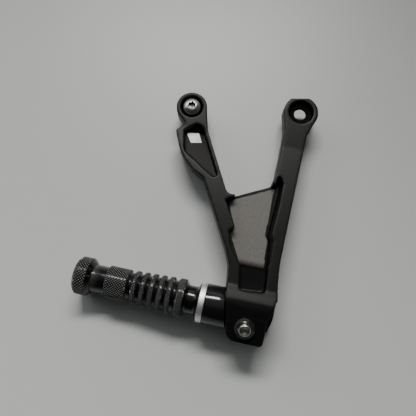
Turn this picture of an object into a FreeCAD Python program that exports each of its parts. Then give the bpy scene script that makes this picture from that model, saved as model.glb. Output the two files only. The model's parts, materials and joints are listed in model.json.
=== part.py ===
import FreeCAD, Part
import math
import os
import Sketcher

# Folding foot peg on a V-shaped hanger. Millimetres, +Z out of the hanger's front face.
# The origin is on the free eyelet's bolt axis, in the plane of the arms' back faces.
# X runs along the peg, which points to -X, and the hinge is at the lower end, towards -Y.

doc = FreeCAD.newDocument("foot_peg")
Vector = FreeCAD.Vector

sizes = {
    # hanger, heights over the arms' back faces
    "tableDepth": 9.0,
    "eyeFace": 13.0,
    "armLowFace": 21.0,
    "crestFace": 25.9,
    # eyelets
    "leftEyeX": -83.2,
    "leftEyeY": -12.5,
    "leftEyeRadius": 11.8,
    "rightEyeRadius": 13.25,
    "rightEyeFlat": 11.4,
    "leftSeatRadius": 8.5,
    "rightSeatRadius": 9.2,
    "leftSeatFloor": 5.0,
    "rightSeatFloor": 8.5,
    "eyeBore": 4.5,
    "footRadius": 7.5,
    "socketRadius": 8.8,
    "socketDepth": 6.0,
    # hinge: place and lean of the pin
    "hingeX": -13.0,
    "hingeY": -161.0,
    "hingeZ": 8.25,
    "hingeLean": 18.5,
    "pegDroop": 2.7,
    "earOuter": 14.0,
    "earInner": 7.5,
    "earBottom": 11.3,
    "slotTop": 12.5,
    "pinRadius": 4.25,
    "pinHeadRadius": 6.2,
    "pinHeadHeight": 3.0,
    "pinBeyondEar": 5.3,
    "runningGap": 0.05,
    "tongueHalf": 6.7,
    "stopFace": 14.3,
    "stopLean": 9.6,
    "tongueRadius": 11.0,
    "bushRadius": 5.6,
    # peg, distances along its axis from the pin
    "pegOffset": 6.0,
    "pegRise": 0.7,
    "collarRadius": 14.0,
    "collarEnd": 30.3,
    "ringEnd": 34.3,
    "spigotRadius": 7.0,
    "spigotEnd": 42.0,
    "neckRadius": 10.0,
    "boltSeat": 52.0,
    "cavityRadius": 7.0,
    "sleeveEnd": 112.0,
    "knobEnd": 124.8,
    "knobRadius": 13.75,
    # loose bolt
    "boltRadius": 4.0,
    "boltLength": 20.0,
    "boltHeadRadius": 7.0,
    "boltHeadHeight": 4.4,
}

sheet = doc.addObject("Spreadsheet::Sheet", "Sizes")
for row, (alias, value) in enumerate(sizes.items(), start=1):
    sheet.set(f"A{row}", alias)
    sheet.set(f"B{row}", str(value))
    sheet.setAlias(f"B{row}", alias)
doc.recompute()


# A term is a plain number, a cell's alias, or (alias, amount to add).
def number(term):
    if isinstance(term, tuple):
        return sizes[term[0]] + term[1]
    if isinstance(term, str):
        return sizes[term]
    return term


def bind(thing, attribute, term):
    if isinstance(term, tuple):
        thing.setExpression(attribute, f"Sizes.{term[0]} + ({term[1]})")
    elif isinstance(term, str):
        thing.setExpression(attribute, f"Sizes.{term}")


def closed_sketch(body, points):
    """A closed outline on the body's XY plane, each corner dimensioned from the origin."""
    plane = next(f for f in body.Origin.OriginFeatures if f.Role == "XY_Plane")
    sketch = body.newObject("Sketcher::SketchObject", body.Name + "Sketch")
    sketch.AttachmentSupport = (plane, "")
    sketch.MapMode = "FlatFace"
    corners = [Vector(number(across), number(up), 0) for across, up in points]
    count = len(corners)
    for index, corner in enumerate(corners):
        sketch.addGeometry(Part.LineSegment(corner, corners[(index + 1) % count]), False)
    for index in range(count):
        sketch.addConstraint(Sketcher.Constraint("Coincident", index, 2, (index + 1) % count, 1))
    for index, (across, up) in enumerate(points):
        for kind, axis, term in (("DistanceX", -2, across), ("DistanceY", -1, up)):
            if number(term) == 0:
                sketch.addConstraint(Sketcher.Constraint("PointOnObject", index, 1, axis))
                continue
            rule = sketch.addConstraint(Sketcher.Constraint(kind, -1, 1, index, 1, number(term)))
            bind(sketch, f"Constraints[{rule}]", term)
    return sketch


def turned(label, points, place):
    """A turned piece: (distance along local X, radius) corners spun about local X."""
    body = doc.addObject("PartDesign::Body", label)
    sketch = closed_sketch(body, points)
    spin = body.newObject("PartDesign::Revolution", label + "Spin")
    spin.Profile = sketch
    spin.ReferenceAxis = (sketch, ["H_Axis"])
    spin.Angle = 360
    sketch.Visibility = False
    body.Placement = place
    doc.recompute()
    return body


def prism(label, points, height, place, rounds=()):
    """A straight-sided block; rounds lists (corner number, radius) for its upright edges."""
    body = doc.addObject("PartDesign::Body", label)
    pad = body.newObject("PartDesign::Pad", label + "Pad")
    pad.Profile = closed_sketch(body, points)
    pad.Length = number(height)
    bind(pad, "Length", height)
    doc.recompute()
    for radius in sorted({size for _, size in rounds}):
        base = body.Tip
        names = []
        for corner in (points[index] for index, size in rounds if size == radius):
            x, y = number(corner[0]), number(corner[1])
            for place_in_list, edge in enumerate(base.Shape.Edges, start=1):
                ends = [(v.X - x) ** 2 + (v.Y - y) ** 2 for v in edge.Vertexes]
                if len(ends) == 2 and max(ends) < 0.01:
                    names.append(f"Edge{place_in_list}")
        fillet = body.newObject("PartDesign::Fillet", f"{label}Round")
        fillet.Base = (base, names)
        fillet.Radius = radius
        doc.recompute()
    body.Placement = place
    return body


def cylinder(label, radius, height, place):
    rod = doc.addObject("Part::Cylinder", label)
    rod.Radius = number(radius)
    rod.Height = number(height)
    bind(rod, "Radius", radius)
    bind(rod, "Height", height)
    rod.Placement = place
    return rod


def box(label, length, width, height, place):
    block = doc.addObject("Part::Box", label)
    block.Length, block.Width, block.Height = length, width, height
    block.Placement = place
    return block


def fused(label, pieces):
    joined = doc.addObject("Part::MultiFuse", label)
    joined.Shapes = pieces
    joined.Refine = True
    return joined


def cut(label, base, tools):
    result = doc.addObject("Part::Cut", label)
    result.Base = base
    result.Tool = tools[0] if len(tools) == 1 else fused(label + "Tools", tools)
    result.Refine = True
    return result


def moved(place, x, y, z):
    return place.multiply(FreeCAD.Placement(Vector(x, y, z), FreeCAD.Rotation()))


# Directions at the hinge: along the ears (x), up the ears (y) and along the pin (z).
lean = FreeCAD.Rotation(Vector(1, 0, 0), sizes["hingeLean"])
droop = FreeCAD.Rotation(Vector(0, 1, 0), -sizes["pegDroop"])
hinge_turn = droop.multiply(lean)
hinge_point = Vector(sizes["hingeX"], sizes["hingeY"], sizes["hingeZ"])
hinge = FreeCAD.Placement(hinge_point, hinge_turn)
along_ears = hinge_turn.multVec(Vector(1, 0, 0))
up_ears = hinge_turn.multVec(Vector(0, 1, 0))
along_pin = hinge_turn.multVec(Vector(0, 0, 1))

level = FreeCAD.Placement()
# Local X becomes +Y and local Y becomes +Z, so that a side profile can be drawn flat.
side_turn = FreeCAD.Rotation(Vector(0, 1, 0), Vector(0, 0, 1), Vector(1, 0, 0), "XYZ")
side_view = FreeCAD.Placement(Vector(-150, 0, 0), side_turn)
# Local X points up, for pieces turned about an upright axis.
upright_turn = FreeCAD.Rotation(Vector(0, 0, 1), Vector(1, 0, 0), Vector(0, 1, 0), "XYZ")
# Local X runs along the pin from the rear ear's outer face.
pin_turn = FreeCAD.Rotation(along_pin, along_ears, up_ears, "XYZ")
pin_axis = FreeCAD.Placement(hinge_point, pin_turn)
# Local X runs down the peg from the pin towards the knob.
peg_point = hinge_point + up_ears * sizes["pegOffset"]
peg_turn = FreeCAD.Rotation(along_ears * -1, up_ears, along_pin * -1, "XYZ")
rise = FreeCAD.Rotation(along_pin, -sizes["pegRise"])
peg_axis = FreeCAD.Placement(peg_point, rise.multiply(peg_turn))


def make_hanger():
    """The forged hanger: two arms, a thin web, a side lug and the two ears of the hinge."""
    plate_outline = [
        (12.6, -4.0), (7.4, -18.0), (5.0, -68.0), (2.6, -118.0), (3.2, -130.0), (4.8, -144.0),
        (-30.4, -144.0), (-32.3, -126.0), (-36.1, -116.4), (-62.3, -67.4), (-73.2, -61.3),
        (-80.6, -54.2), (-85.3, -47.0), (-91.2, -33.4), (-85.0, -27.0), (-93.6, -18.0),
        ("leftEyeX", "leftEyeY"), (-71.8, -11.0), (-67.1, -29.0), (-42.3, -77.1),
        (-12.2, -61.6), (-10.4, -54.0), (-9.9, -17.0), (-12.6, -4.0), (0, 0),
    ]
    plate_rounds = [
        (1, 12.0), (10, 6.0), (11, 6.0), (12, 6.0), (13, 1.6), (14, 1.6), (18, 12.0),
        (19, 6.0), (20, 1.6), (21, 6.0), (22, 12.0), (8, 12.0), (9, 1.6),
    ]
    plate = prism("plate", plate_outline, 40, level, plate_rounds)

    ear_outline = [
        (-17.3, 24.5), (-11.3, ("earBottom", -22.6)), (14.0, ("earBottom", -22.6)),
        (14.0, 5.5), (17.3, 17.0), (18.3, 24.5),
    ]
    ear_place = moved(hinge, 0, 0, -sizes["earOuter"])
    ears = prism("ears", ear_outline, 2 * sizes["earOuter"], ear_place, [(1, 7.2), (2, 3.0)])
    heel_outline = [(0, -9.4), (17.0, -9.4), (19.6, 1.0), (19.6, 18.0), (0, 18.0)]
    heel_depth = sizes["earOuter"] - sizes["earInner"]
    heel = prism("heel", heel_outline, heel_depth, ear_place, [(1, 2.0), (2, 3.0)])

    above = prism(
        "aboveFront",
        [
            (40, "eyeFace"), (-30, "eyeFace"), (-127, "armLowFace"), (-138.5, ("armLowFace", 1.0)),
            (-143.5, ("crestFace", -1.5)), (-148, "crestFace"), (-152.5, ("crestFace", -0.2)),
            (-158, ("crestFace", -1.86)), (-200, ("crestFace", -1.86)), (-200, 80), (40, 80),
        ],
        300, side_view, [(3, 6.0), (4, 10.0), (5, 6.0), (6, 6.0)],
    )
    behind = prism("behindBack", [(40, -60), (40, 0), (-141, 0), (-141, -60)], 300, side_view)
    left_eye = FreeCAD.Placement(
        Vector(sizes["leftEyeX"], sizes["leftEyeY"], 0), FreeCAD.Rotation()
    )
    left_boss = cylinder("leftBoss", "leftEyeRadius", "eyeFace", left_eye)
    right_boss = cylinder("rightBoss", "rightEyeRadius", "eyeFace", level)
    left_foot = cylinder(
        "leftFoot", "footRadius", ("tableDepth", 1.0), moved(left_eye, 0, 0, -sizes["tableDepth"])
    )

    # the lug is thinner than the arm that carries it
    lug_back = [(-62.0, -67.8), (-84.0, -27.2), (-110.0, -27.2), (-110.0, -90.0), (-62.0, -90.0)]
    behind_lug = prism("behindLug", lug_back, 13.5, moved(level, 0, 0, -10))
    trims = [above, behind, behind_lug]
    trimmed = cut("trimmedPlate", fused("plateAndEars", [plate, ears, heel]), trims)
    solid = fused("solidHanger", [trimmed, left_boss, right_boss, left_foot])

    tools = []
    # flat on the free eyelet, square to the line between the lug and the gap
    flat_turn = FreeCAD.Rotation(Vector(0, 0, 1), 11.7)
    flat_point = flat_turn.multVec(Vector(-30, sizes["rightEyeFlat"], -40))
    tools.append(box("eyeFlat", 60, 20, 80, FreeCAD.Placement(flat_point, flat_turn)))
    for side, eye in (("left", left_eye), ("right", level)):
        tools.append(cylinder(side + "Bore", "eyeBore", 60, moved(eye, 0, 0, -20)))
        seat_place = moved(eye, 0, 0, sizes[side + "SeatFloor"])
        tools.append(cylinder(side + "Seat", side + "SeatRadius", 40, seat_place))
    # the free eyelet's back fits over a round spigot on the motorcycle's frame
    tools.append(cylinder("spigotSocket", "socketRadius", ("socketDepth", 20), moved(level, 0, 0, -20)))

    # web pocket between the arms: open to the gap at its top, with a sloping floor
    pocket_outline = [
        (-43.2, -80.2), (-37.5, -75.6), (-30.0, -62.0), (-14.5, -60.5), (-9.2, -61.6),
        (-8.9, -56.0), (-7.6, -54.4), (-5.6, -56.0), (-5.0, -58.8), (-8.2, -99.7),
        (-6.2, -102.9), (-4.2, -137.6), (-5.4, -140.2), (-22.0, -141.8), (-24.7, -124.0),
        (-36.1, -101.8), (-33.1, -98.2),
    ]
    pocket = prism("webPocket", pocket_outline, 60, level, [(5, 0.8), (7, 0.8), (13, 3.0)])
    floor_profile = [(-30, 5.0), (-121, 12.0), (-134, 11.0), (-150, 11.0), (-150, -40), (-30, -40)]
    pocket_floor = prism("webPocketFloor", floor_profile, 300, side_view)
    tools.append(cut("webPocketTool", pocket, [pocket_floor]))

    # lug pocket with a floor that falls away towards the eyelet
    lug_outline = [
        (-84.9, -32.7), (-76.2, -25.0), (-70.8, -27.5), (-52.9, -63.0), (-56.0, -65.2),
        (-81.3, -48.8),
    ]
    lug = prism("lugPocket", lug_outline, 60, level, [(1, 3.0), (2, 3.0), (3, 1.0), (5, 5.0)])
    floor_block = box("lugFloorBlock", 80, 80, 40, moved(lug_floor, -40, -40, -40))
    tools.append(cut("lugPocketTool", lug, [floor_block]))

    # shallow recess in the back of the web
    recess_outline = [(-34.0, -84.0), (-14.0, -73.5), (-12.5, -118.0), (-21.5, -122.0)]
    recess_rounds = [(corner, 3.0) for corner in range(4)]
    tools.append(prism("webRecess", recess_outline, 4.0, moved(level, 0, 0, -1), recess_rounds))

    # hinge: slot, pin bore, recess for the pin's head, and the two dimples of the detent
    slot_place = moved(hinge, -40, -40, -sizes["earInner"])
    tools.append(box("hingeSlot", 80, 40 + sizes["slotTop"], 2 * sizes["earInner"], slot_place))
    bore_radius = ("pinRadius", sizes["runningGap"])
    tools.append(cylinder("pinBore", bore_radius, 60, moved(hinge, 0, 0, -30)))
    head_depth = sizes["pinHeadHeight"] + 0.2
    head_place = moved(hinge, 0, 0, -sizes["earOuter"] - 10)
    tools.append(cylinder("headRecess", ("pinHeadRadius", 0.3), 10 + head_depth, head_place))
    # room for the collar, up to the wall that stops it
    reach = cylinder("collarReach", ("collarRadius", 0.6), 40, collar_axis)
    tools.append(cut("collarRoom", reach, [stop_block("stopWall", sizes["stopFace"] - 0.25)]))
    for name, turn in (("rest", 180), ("folded", 270)):
        dimple = doc.addObject("Part::Sphere", name + "Dimple")
        dimple.Radius = detent["ballRadius"] + 0.1
        x = detent["orbit"] * math.cos(math.radians(turn))
        y = detent["orbit"] * math.sin(math.radians(turn))
        dimple.Placement = moved(hinge, x, y, -sizes["earInner"] + 1.2)
        tools.append(dimple)
    return cut("bracket_forging", solid, tools)


detent = {"ballRadius": 2.0, "orbit": 8.9, "boreRadius": 2.05, "boreDepth": 10.5}
lug_floor_normal = Vector(0.12, 0.25, 1.0)
lug_floor = FreeCAD.Placement(
    Vector(-84.9, -32.7, 8.0), FreeCAD.Rotation(Vector(0, 0, 1), lug_floor_normal)
)


collar_axis = moved(peg_axis, 8, 0, 0).multiply(
    FreeCAD.Placement(Vector(0, 0, 0), FreeCAD.Rotation(Vector(0, 1, 0), 90))
)


def stop_block(label, distance):
    """Everything on the ears' side of the leaning plane where the collar stops."""
    leaning = FreeCAD.Rotation(Vector(0, 0, 1), sizes["stopLean"])
    place = hinge.multiply(FreeCAD.Placement(Vector(-distance, 0, 0), leaning))
    return box(label, 60, 120, 80, moved(place, 0, -60, -40))


def make_label():
    """A blank printed tag on the lug pocket's floor."""
    outline = [(1.8, 0.2), (11.2, 2.3), (14.8, -5.4), (6.8, -7.8)]
    return prism("code_label", outline, 0.25, moved(lug_floor, 0, 0, 0))


def make_loose_bolt():
    """Button-head bolt standing loose in the left eyelet, with a six-lobed socket."""
    place = FreeCAD.Placement(
        Vector(sizes["leftEyeX"], sizes["leftEyeY"], -sizes["tableDepth"]), upright_turn
    )
    head = sizes["boltHeadRadius"]
    rise = sizes["boltHeadHeight"]
    points = [
        (0, 0), (0, ("boltRadius", -0.7)), (0.7, "boltRadius"), ("boltLength", "boltRadius"),
        ("boltLength", "boltHeadRadius"), (("boltLength", 0.6), "boltHeadRadius"),
    ]
    steps = 5
    for step in range(1, steps + 1):
        angle = math.radians(78 * step / steps)
        height = 0.6 + (rise - 0.6) * math.sin(angle) / math.sin(math.radians(78))
        points.append((("boltLength", height), head * math.cos(angle)))
    points.append((("boltLength", rise), 0))
    blank = turned("boltBlank", points, place)
    socket_floor = moved(place, sizes["boltLength"] + rise - 2.6, 0, 0)
    socket_turn = FreeCAD.Placement(Vector(0, 0, 0), FreeCAD.Rotation(Vector(0, 1, 0), 90))
    core = socket_floor.multiply(socket_turn)
    lobes = [cylinder("socketCore", 2.75, 10, core)]
    for index in range(6):
        angle = math.radians(60 * index)
        lobe_place = moved(core, 2.6 * math.cos(angle), 2.6 * math.sin(angle), 0)
        lobes.append(cylinder(f"socketLobe{index}", 0.7, 10, lobe_place))
    return cut("mount_bolt", blank, lobes)


def make_pin_parts():
    """Headed pin, its washer and the clip, with the two thrust washers inside the ears."""
    outer = sizes["earOuter"]
    start = moved(pin_axis, -outer, 0, 0)
    groove = 2 * outer + 0.7
    end = 2 * outer + sizes["pinBeyondEar"]
    turned("hinge_pin", [
        (0, 0), (0, ("pinHeadRadius", -0.5)), (0.5, "pinHeadRadius"),
        ("pinHeadHeight", "pinHeadRadius"), ("pinHeadHeight", "pinRadius"), (groove, "pinRadius"),
        (groove, ("pinRadius", -0.75)), (groove + 1.0, ("pinRadius", -0.75)),
        (groove + 1.0, "pinRadius"), (end - 0.7, "pinRadius"), (end, ("pinRadius", -0.7)), (end, 0),
    ], start)
    washer_bore = ("pinRadius", 0.1)
    turned("pin_washer", [
        (2 * outer, washer_bore), (2 * outer + 0.6, washer_bore), (2 * outer + 0.6, 6.8),
        (2 * outer, 6.8),
    ], start)
    inner = sizes["earInner"]
    for label, low in (("front_thrust_washer", inner - 0.75), ("rear_thrust_washer", 0.05 - inner)):
        high = low + 0.7
        turned(label, [(low, washer_bore), (high, washer_bore), (high, 6.6), (low, 6.6)], pin_axis)

    clip_place = moved(hinge, 0, 0, outer + 0.75)
    clip_thickness = 0.9
    rim = cylinder("clipRim", 7.1, clip_thickness, clip_place)
    hollow = cylinder("clipHollow", 5.4, 10, moved(clip_place, 0, 0, -5))
    clip_ring = cut("clipRing", rim, [hollow])
    opening = 30
    arms = []
    for index, turn in enumerate((opening + 180, opening + 68, opening - 68)):
        arm_turn = FreeCAD.Placement(Vector(0, 0, 0), FreeCAD.Rotation(Vector(0, 0, 1), turn))
        arm_place = moved(clip_place.multiply(arm_turn), 3.0, -1.1, 0)
        arms.append(box(f"clipProng{index}", 3.4, 2.2, clip_thickness, arm_place))
    shaft = cylinder("clipShaft", sizes["pinRadius"] - 0.7, 10, moved(clip_place, 0, 0, -5))
    mouth_turn = FreeCAD.Placement(Vector(0, 0, 0), FreeCAD.Rotation(Vector(0, 0, 1), opening))
    mouth_points = [(0, 0), (12, -10.5), (12, 10.5)]
    mouth = prism("clipMouth", mouth_points, 10, moved(clip_place.multiply(mouth_turn), 0, 0, -5))
    open_ring = cut("clipOpenRing", clip_ring, [mouth])
    cut("pin_clip", fused("clipSolid", [open_ring] + arms), [shaft])


def make_peg_adapter():
    """Hinge tongue and round collar in one, with the bush, the thread insert and the detent."""
    tongue_place = moved(hinge, 0, 0, -sizes["tongueHalf"])
    thickness = 2 * sizes["tongueHalf"]
    eye = cylinder("tongueEye", "tongueRadius", thickness, tongue_place)
    bar = box("tongueBar", 24, 17.2, thickness, moved(tongue_place, -24, -6.0, 0))
    # the collar's end face leans like the hanger's side, which stops it at rest
    collar_rod = cylinder("collarRod", "collarRadius", ("collarEnd", -8.0), collar_axis)
    collar = cut("collar", collar_rod, [stop_block("collarFace", sizes["stopFace"])])
    spigot_place = moved(collar_axis, 0, 0, 14)
    spigot = cylinder("spigot", "spigotRadius", ("spigotEnd", -22.0), spigot_place)
    body = fused("adapterSolid", [eye, bar, collar, spigot])
    tools = [
        cylinder("bushBore", "bushRadius", 60, moved(hinge, 0, 0, -30)),
        cylinder("insertBore", 4.7, 60, moved(collar_axis, 0, 0, 10)),
    ]
    detent_place = moved(hinge, -detent["orbit"], 0, -sizes["tongueHalf"] - 1)
    tools.append(cylinder("detentBore", detent["boreRadius"], detent["boreDepth"] + 1, detent_place))
    tools.append(cylinder("adapterKeyBore", key["radius"], 60, moved(collar_axis, 0, key["orbit"], 18)))
    cut("peg_adapter", body, tools)

    bush_half = sizes["tongueHalf"] - 0.05
    bore = ("pinRadius", sizes["runningGap"])
    turned("hinge_bush", [
        (-bush_half, bore), (bush_half, bore), (bush_half, "bushRadius"), (-bush_half, "bushRadius"),
    ], pin_axis)
    turned("thread_insert", [(22.0, 4.05), (40.0, 4.05), (40.0, 4.7), (22.0, 4.7)], peg_axis)

    ball = doc.addObject("Part::Sphere", "detent_ball")
    ball.Radius = detent["ballRadius"]
    ball_height = -sizes["earInner"] + 0.1 + detent["ballRadius"]
    ball.Placement = moved(hinge, -detent["orbit"], 0, ball_height)
    wire = 0.3
    spring_low = ball_height + detent["ballRadius"] - 0.55
    spring_high = -sizes["tongueHalf"] + detent["boreDepth"] - 2 * wire
    helix = doc.addObject("Part::Helix", "detentHelix")
    helix.Pitch = (spring_high - spring_low) / 6
    helix.Height = spring_high - spring_low
    helix.Radius = 1.5
    section = doc.addObject("Part::Circle", "springWire")
    section.Radius = wire
    section.Placement = FreeCAD.Placement(Vector(1.5, 0, 0), FreeCAD.Rotation(Vector(1, 0, 0), 90))
    spring = doc.addObject("Part::Sweep", "detent_spring")
    spring.Sections = [section]
    spring.Spine = (helix, ["Edge1"])
    spring.Solid = True
    spring.Frenet = True
    doc.recompute()
    spring.Placement = moved(hinge, -detent["orbit"], 0, spring_low + wire)


key = {"radius": 1.0, "orbit": 8.55}
grip = {
    "wideCrest": 13.5, "wideStart": 45.0, "wideEnd": 49.4, "crestHalf": 0.95,
    "slope": 1.25, "depth": 2.2, "knurlStart": 87.0, "knurlRadius": 11.5, "knurlEnd": 101.8,
    "grooves": 6,
}


def crest_radius(distance):
    fall = (grip["wideCrest"] - grip["knurlRadius"]) / (grip["knurlStart"] - grip["wideEnd"])
    return grip["wideCrest"] - fall * (distance - grip["wideEnd"])


def make_peg():
    """Spacer ring, grooved sleeve, end knob and what holds them on the adapter."""
    spigot_gap = ("spigotRadius", 0.05)
    ring_blank = turned("ringBlank", [
        ("collarEnd", spigot_gap), ("ringEnd", spigot_gap), ("ringEnd", ("collarRadius", -0.4)),
        (("ringEnd", -0.4), "collarRadius"), (("collarEnd", 0.4), "collarRadius"),
        ("collarEnd", ("collarRadius", -0.4)),
    ], peg_axis)

    outline = [
        ("ringEnd", spigot_gap), ("ringEnd", 13.3), (("ringEnd", 0.7), 13.0),
        (("ringEnd", 1.9), 10.7), (("ringEnd", 3.0), "neckRadius"), (42.6, "neckRadius"),
        (43.6, 10.6), (grip["wideStart"], grip["wideCrest"] - 0.5),
        (grip["wideStart"] + 0.5, grip["wideCrest"]), (grip["wideEnd"], grip["wideCrest"]),
    ]
    crest_gap = (grip["knurlStart"] - grip["wideEnd"]) / grip["grooves"]
    for index in range(grip["grooves"]):
        left = grip["wideEnd"] + index * crest_gap + (grip["crestHalf"] if index else 0)
        last = index == grip["grooves"] - 1
        right = grip["wideEnd"] + (index + 1) * crest_gap - (0 if last else grip["crestHalf"])
        floor = crest_radius((left + right) / 2) - grip["depth"]
        if index:
            outline.append((left, crest_radius(left)))
        outline.append((left + grip["slope"], floor))
        outline.append((right - grip["slope"], floor))
        outline.append((right, crest_radius(right)))
    outline += [
        (grip["knurlEnd"] - 1.0, grip["knurlRadius"]), (grip["knurlEnd"], "neckRadius"),
        ("sleeveEnd", "neckRadius"), ("sleeveEnd", "cavityRadius"), ("boltSeat", "cavityRadius"),
        ("boltSeat", 4.4), (("spigotEnd", 0.2), 4.4), (("spigotEnd", 0.2), spigot_gap),
    ]
    sleeve = turned("sleeveBlank", outline, peg_axis)
    quarter = FreeCAD.Placement(Vector(0, 0, 0), FreeCAD.Rotation(Vector(0, 1, 0), 90))
    key_place = moved(peg_axis.multiply(quarter), 0, key["orbit"], 26)
    key_length = 13.0
    cut("peg_sleeve", sleeve, [cylinder("sleeveKeyBore", key["radius"], key_length, key_place)])
    cylinder("roll_pin", key["radius"], key_length - 0.4, key_place)
    ring_bore = cylinder("ringKeyBore", key["radius"], key_length, key_place)
    cut("spacer_ring", ring_blank, [ring_bore])

    seat = sizes["boltSeat"]
    head = seat + 1.6
    washer = turned("lockWasherBlank", [(seat, 4.1), (head, 4.1), (head, 6.4), (seat, 6.4)], peg_axis)
    split = box("lockWasherSplit", 4, 0.8, 6, moved(peg_axis, seat - 1, -0.4, 3))
    cut("peg_lock_washer", washer, [split])
    bolt = turned("pegBoltBlank", [
        (23.0, 0), (23.0, ("boltRadius", -0.6)), (23.6, "boltRadius"), (head, "boltRadius"),
        (head, 6.5), (head + 7.5, 6.5), (head + 8.0, 6.0), (head + 8.0, 0),
    ], peg_axis)
    cut("peg_bolt", bolt, [hexagon("pegBoltSocket", 6.0, 10, head + 4.0)])

    groove_middle = 106.0
    knob = turned("knobBlank", [
        (100.0, 0), (100.0, ("cavityRadius", -0.05)),
        (groove_middle - 0.9, ("cavityRadius", -0.05)), (groove_middle - 0.9, 5.3),
        (groove_middle + 0.9, 5.3), (groove_middle + 0.9, ("cavityRadius", -0.05)),
        ("sleeveEnd", ("cavityRadius", -0.05)), ("sleeveEnd", 10.6), (("sleeveEnd", 0.5), 11.2),
        (("sleeveEnd", 2.9), ("knobRadius", -0.3)), (("sleeveEnd", 3.4), "knobRadius"),
        (("knobEnd", -2.6), "knobRadius"), (("knobEnd", -0.9), ("knobRadius", -0.9)),
        ("knobEnd", ("knobRadius", -2.6)), ("knobEnd", 8.0), (("knobEnd", -0.6), 7.4),
        (("knobEnd", -0.6), 0),
    ], peg_axis)
    cut("end_knob", knob, [hexagon("knobSocket", 8.0, 10, sizes["knobEnd"] - 6.0)])
    ring = doc.addObject("Part::Torus", "knob_o_ring")
    ring.Radius1 = 6.12
    ring.Radius2 = 0.8
    ring.Placement = moved(peg_axis, groove_middle, 0, 0).multiply(quarter)


def hexagon(label, across_flats, height, distance):
    """A hexagonal bar along the peg's axis, for cutting a socket."""
    corner = across_flats / math.sqrt(3)
    turn = FreeCAD.Placement(Vector(0, 0, 0), FreeCAD.Rotation(Vector(0, 1, 0), 90))
    points = []
    for index in range(6):
        angle = math.radians(60 * index + 30)
        points.append((corner * math.cos(angle), corner * math.sin(angle)))
    return prism(label, points, height, moved(peg_axis, distance, 0, 0).multiply(turn))


make_hanger()
make_label()
make_loose_bolt()
make_pin_parts()
make_peg_adapter()
make_peg()
doc.recompute()

nodes = [
    "bracket_forging", "code_label", "mount_bolt", "hinge_pin", "pin_washer", "pin_clip",
    "front_thrust_washer", "rear_thrust_washer", "peg_adapter", "hinge_bush", "thread_insert",
    "detent_ball", "detent_spring", "spacer_ring", "peg_sleeve", "roll_pin", "peg_bolt",
    "peg_lock_washer", "end_knob", "knob_o_ring",
]
for item in doc.Objects:
    if "Invalid" in item.State or "Error" in item.State:
        raise RuntimeError(f"{item.Label} failed: {item.State}")
os.makedirs("parts", exist_ok=True)
for node in nodes:
    piece = doc.getObjectsByLabel(node)[0]
    shape = piece.Shape
    if shape.isNull() or not shape.isValid() or not shape.Solids:
        raise RuntimeError(f"{node} has no valid solid")
    shape.exportStep(f"parts/{node}.step")
    print(f"{node:22s} solids {len(shape.Solids)}  volume {shape.Volume / 1000:8.3f} cm3")
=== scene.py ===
import bpy
import bmesh
import json
import math
from mathutils import Matrix, Vector


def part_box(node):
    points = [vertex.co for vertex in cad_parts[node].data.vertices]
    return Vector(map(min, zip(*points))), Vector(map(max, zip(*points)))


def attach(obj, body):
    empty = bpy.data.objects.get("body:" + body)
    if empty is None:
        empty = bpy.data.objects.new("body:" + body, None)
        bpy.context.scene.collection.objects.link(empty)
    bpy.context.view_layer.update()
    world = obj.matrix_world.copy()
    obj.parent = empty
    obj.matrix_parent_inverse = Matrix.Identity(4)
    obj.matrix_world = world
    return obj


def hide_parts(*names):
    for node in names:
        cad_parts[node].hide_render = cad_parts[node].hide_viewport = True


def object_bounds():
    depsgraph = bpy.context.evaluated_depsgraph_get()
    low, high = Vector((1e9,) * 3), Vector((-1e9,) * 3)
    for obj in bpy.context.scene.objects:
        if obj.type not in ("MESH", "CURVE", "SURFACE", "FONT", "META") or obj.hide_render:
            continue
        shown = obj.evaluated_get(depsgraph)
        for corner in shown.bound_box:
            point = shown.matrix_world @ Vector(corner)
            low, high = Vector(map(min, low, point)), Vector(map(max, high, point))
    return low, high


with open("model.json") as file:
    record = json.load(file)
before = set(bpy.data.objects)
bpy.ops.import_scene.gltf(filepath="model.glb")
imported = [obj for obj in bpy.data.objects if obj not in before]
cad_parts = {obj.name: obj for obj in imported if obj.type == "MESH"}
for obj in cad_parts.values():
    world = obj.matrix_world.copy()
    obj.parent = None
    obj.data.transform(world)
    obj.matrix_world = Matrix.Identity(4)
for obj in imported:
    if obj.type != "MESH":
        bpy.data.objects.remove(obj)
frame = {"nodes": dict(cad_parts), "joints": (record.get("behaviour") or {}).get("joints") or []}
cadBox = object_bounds()
nodes = frame["nodes"]
mm = 0.001


def add(tree, kind, inputs=None, **settings):
    node = tree.nodes.new(kind)
    for name, value in settings.items():
        setattr(node, name, value)
    for socket, value in (inputs or {}).items():
        target = node.inputs[socket]
        if isinstance(value, bpy.types.NodeSocket):
            tree.links.new(value, target)
        else:
            target.default_value = value
    return node


def calc(tree, operation, *values):
    node = tree.nodes.new("ShaderNodeMath")
    node.operation = operation
    for index, value in enumerate(values):
        if isinstance(value, bpy.types.NodeSocket):
            tree.links.new(value, node.inputs[index])
        else:
            node.inputs[index].default_value = value
    return node.outputs[0]


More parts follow.
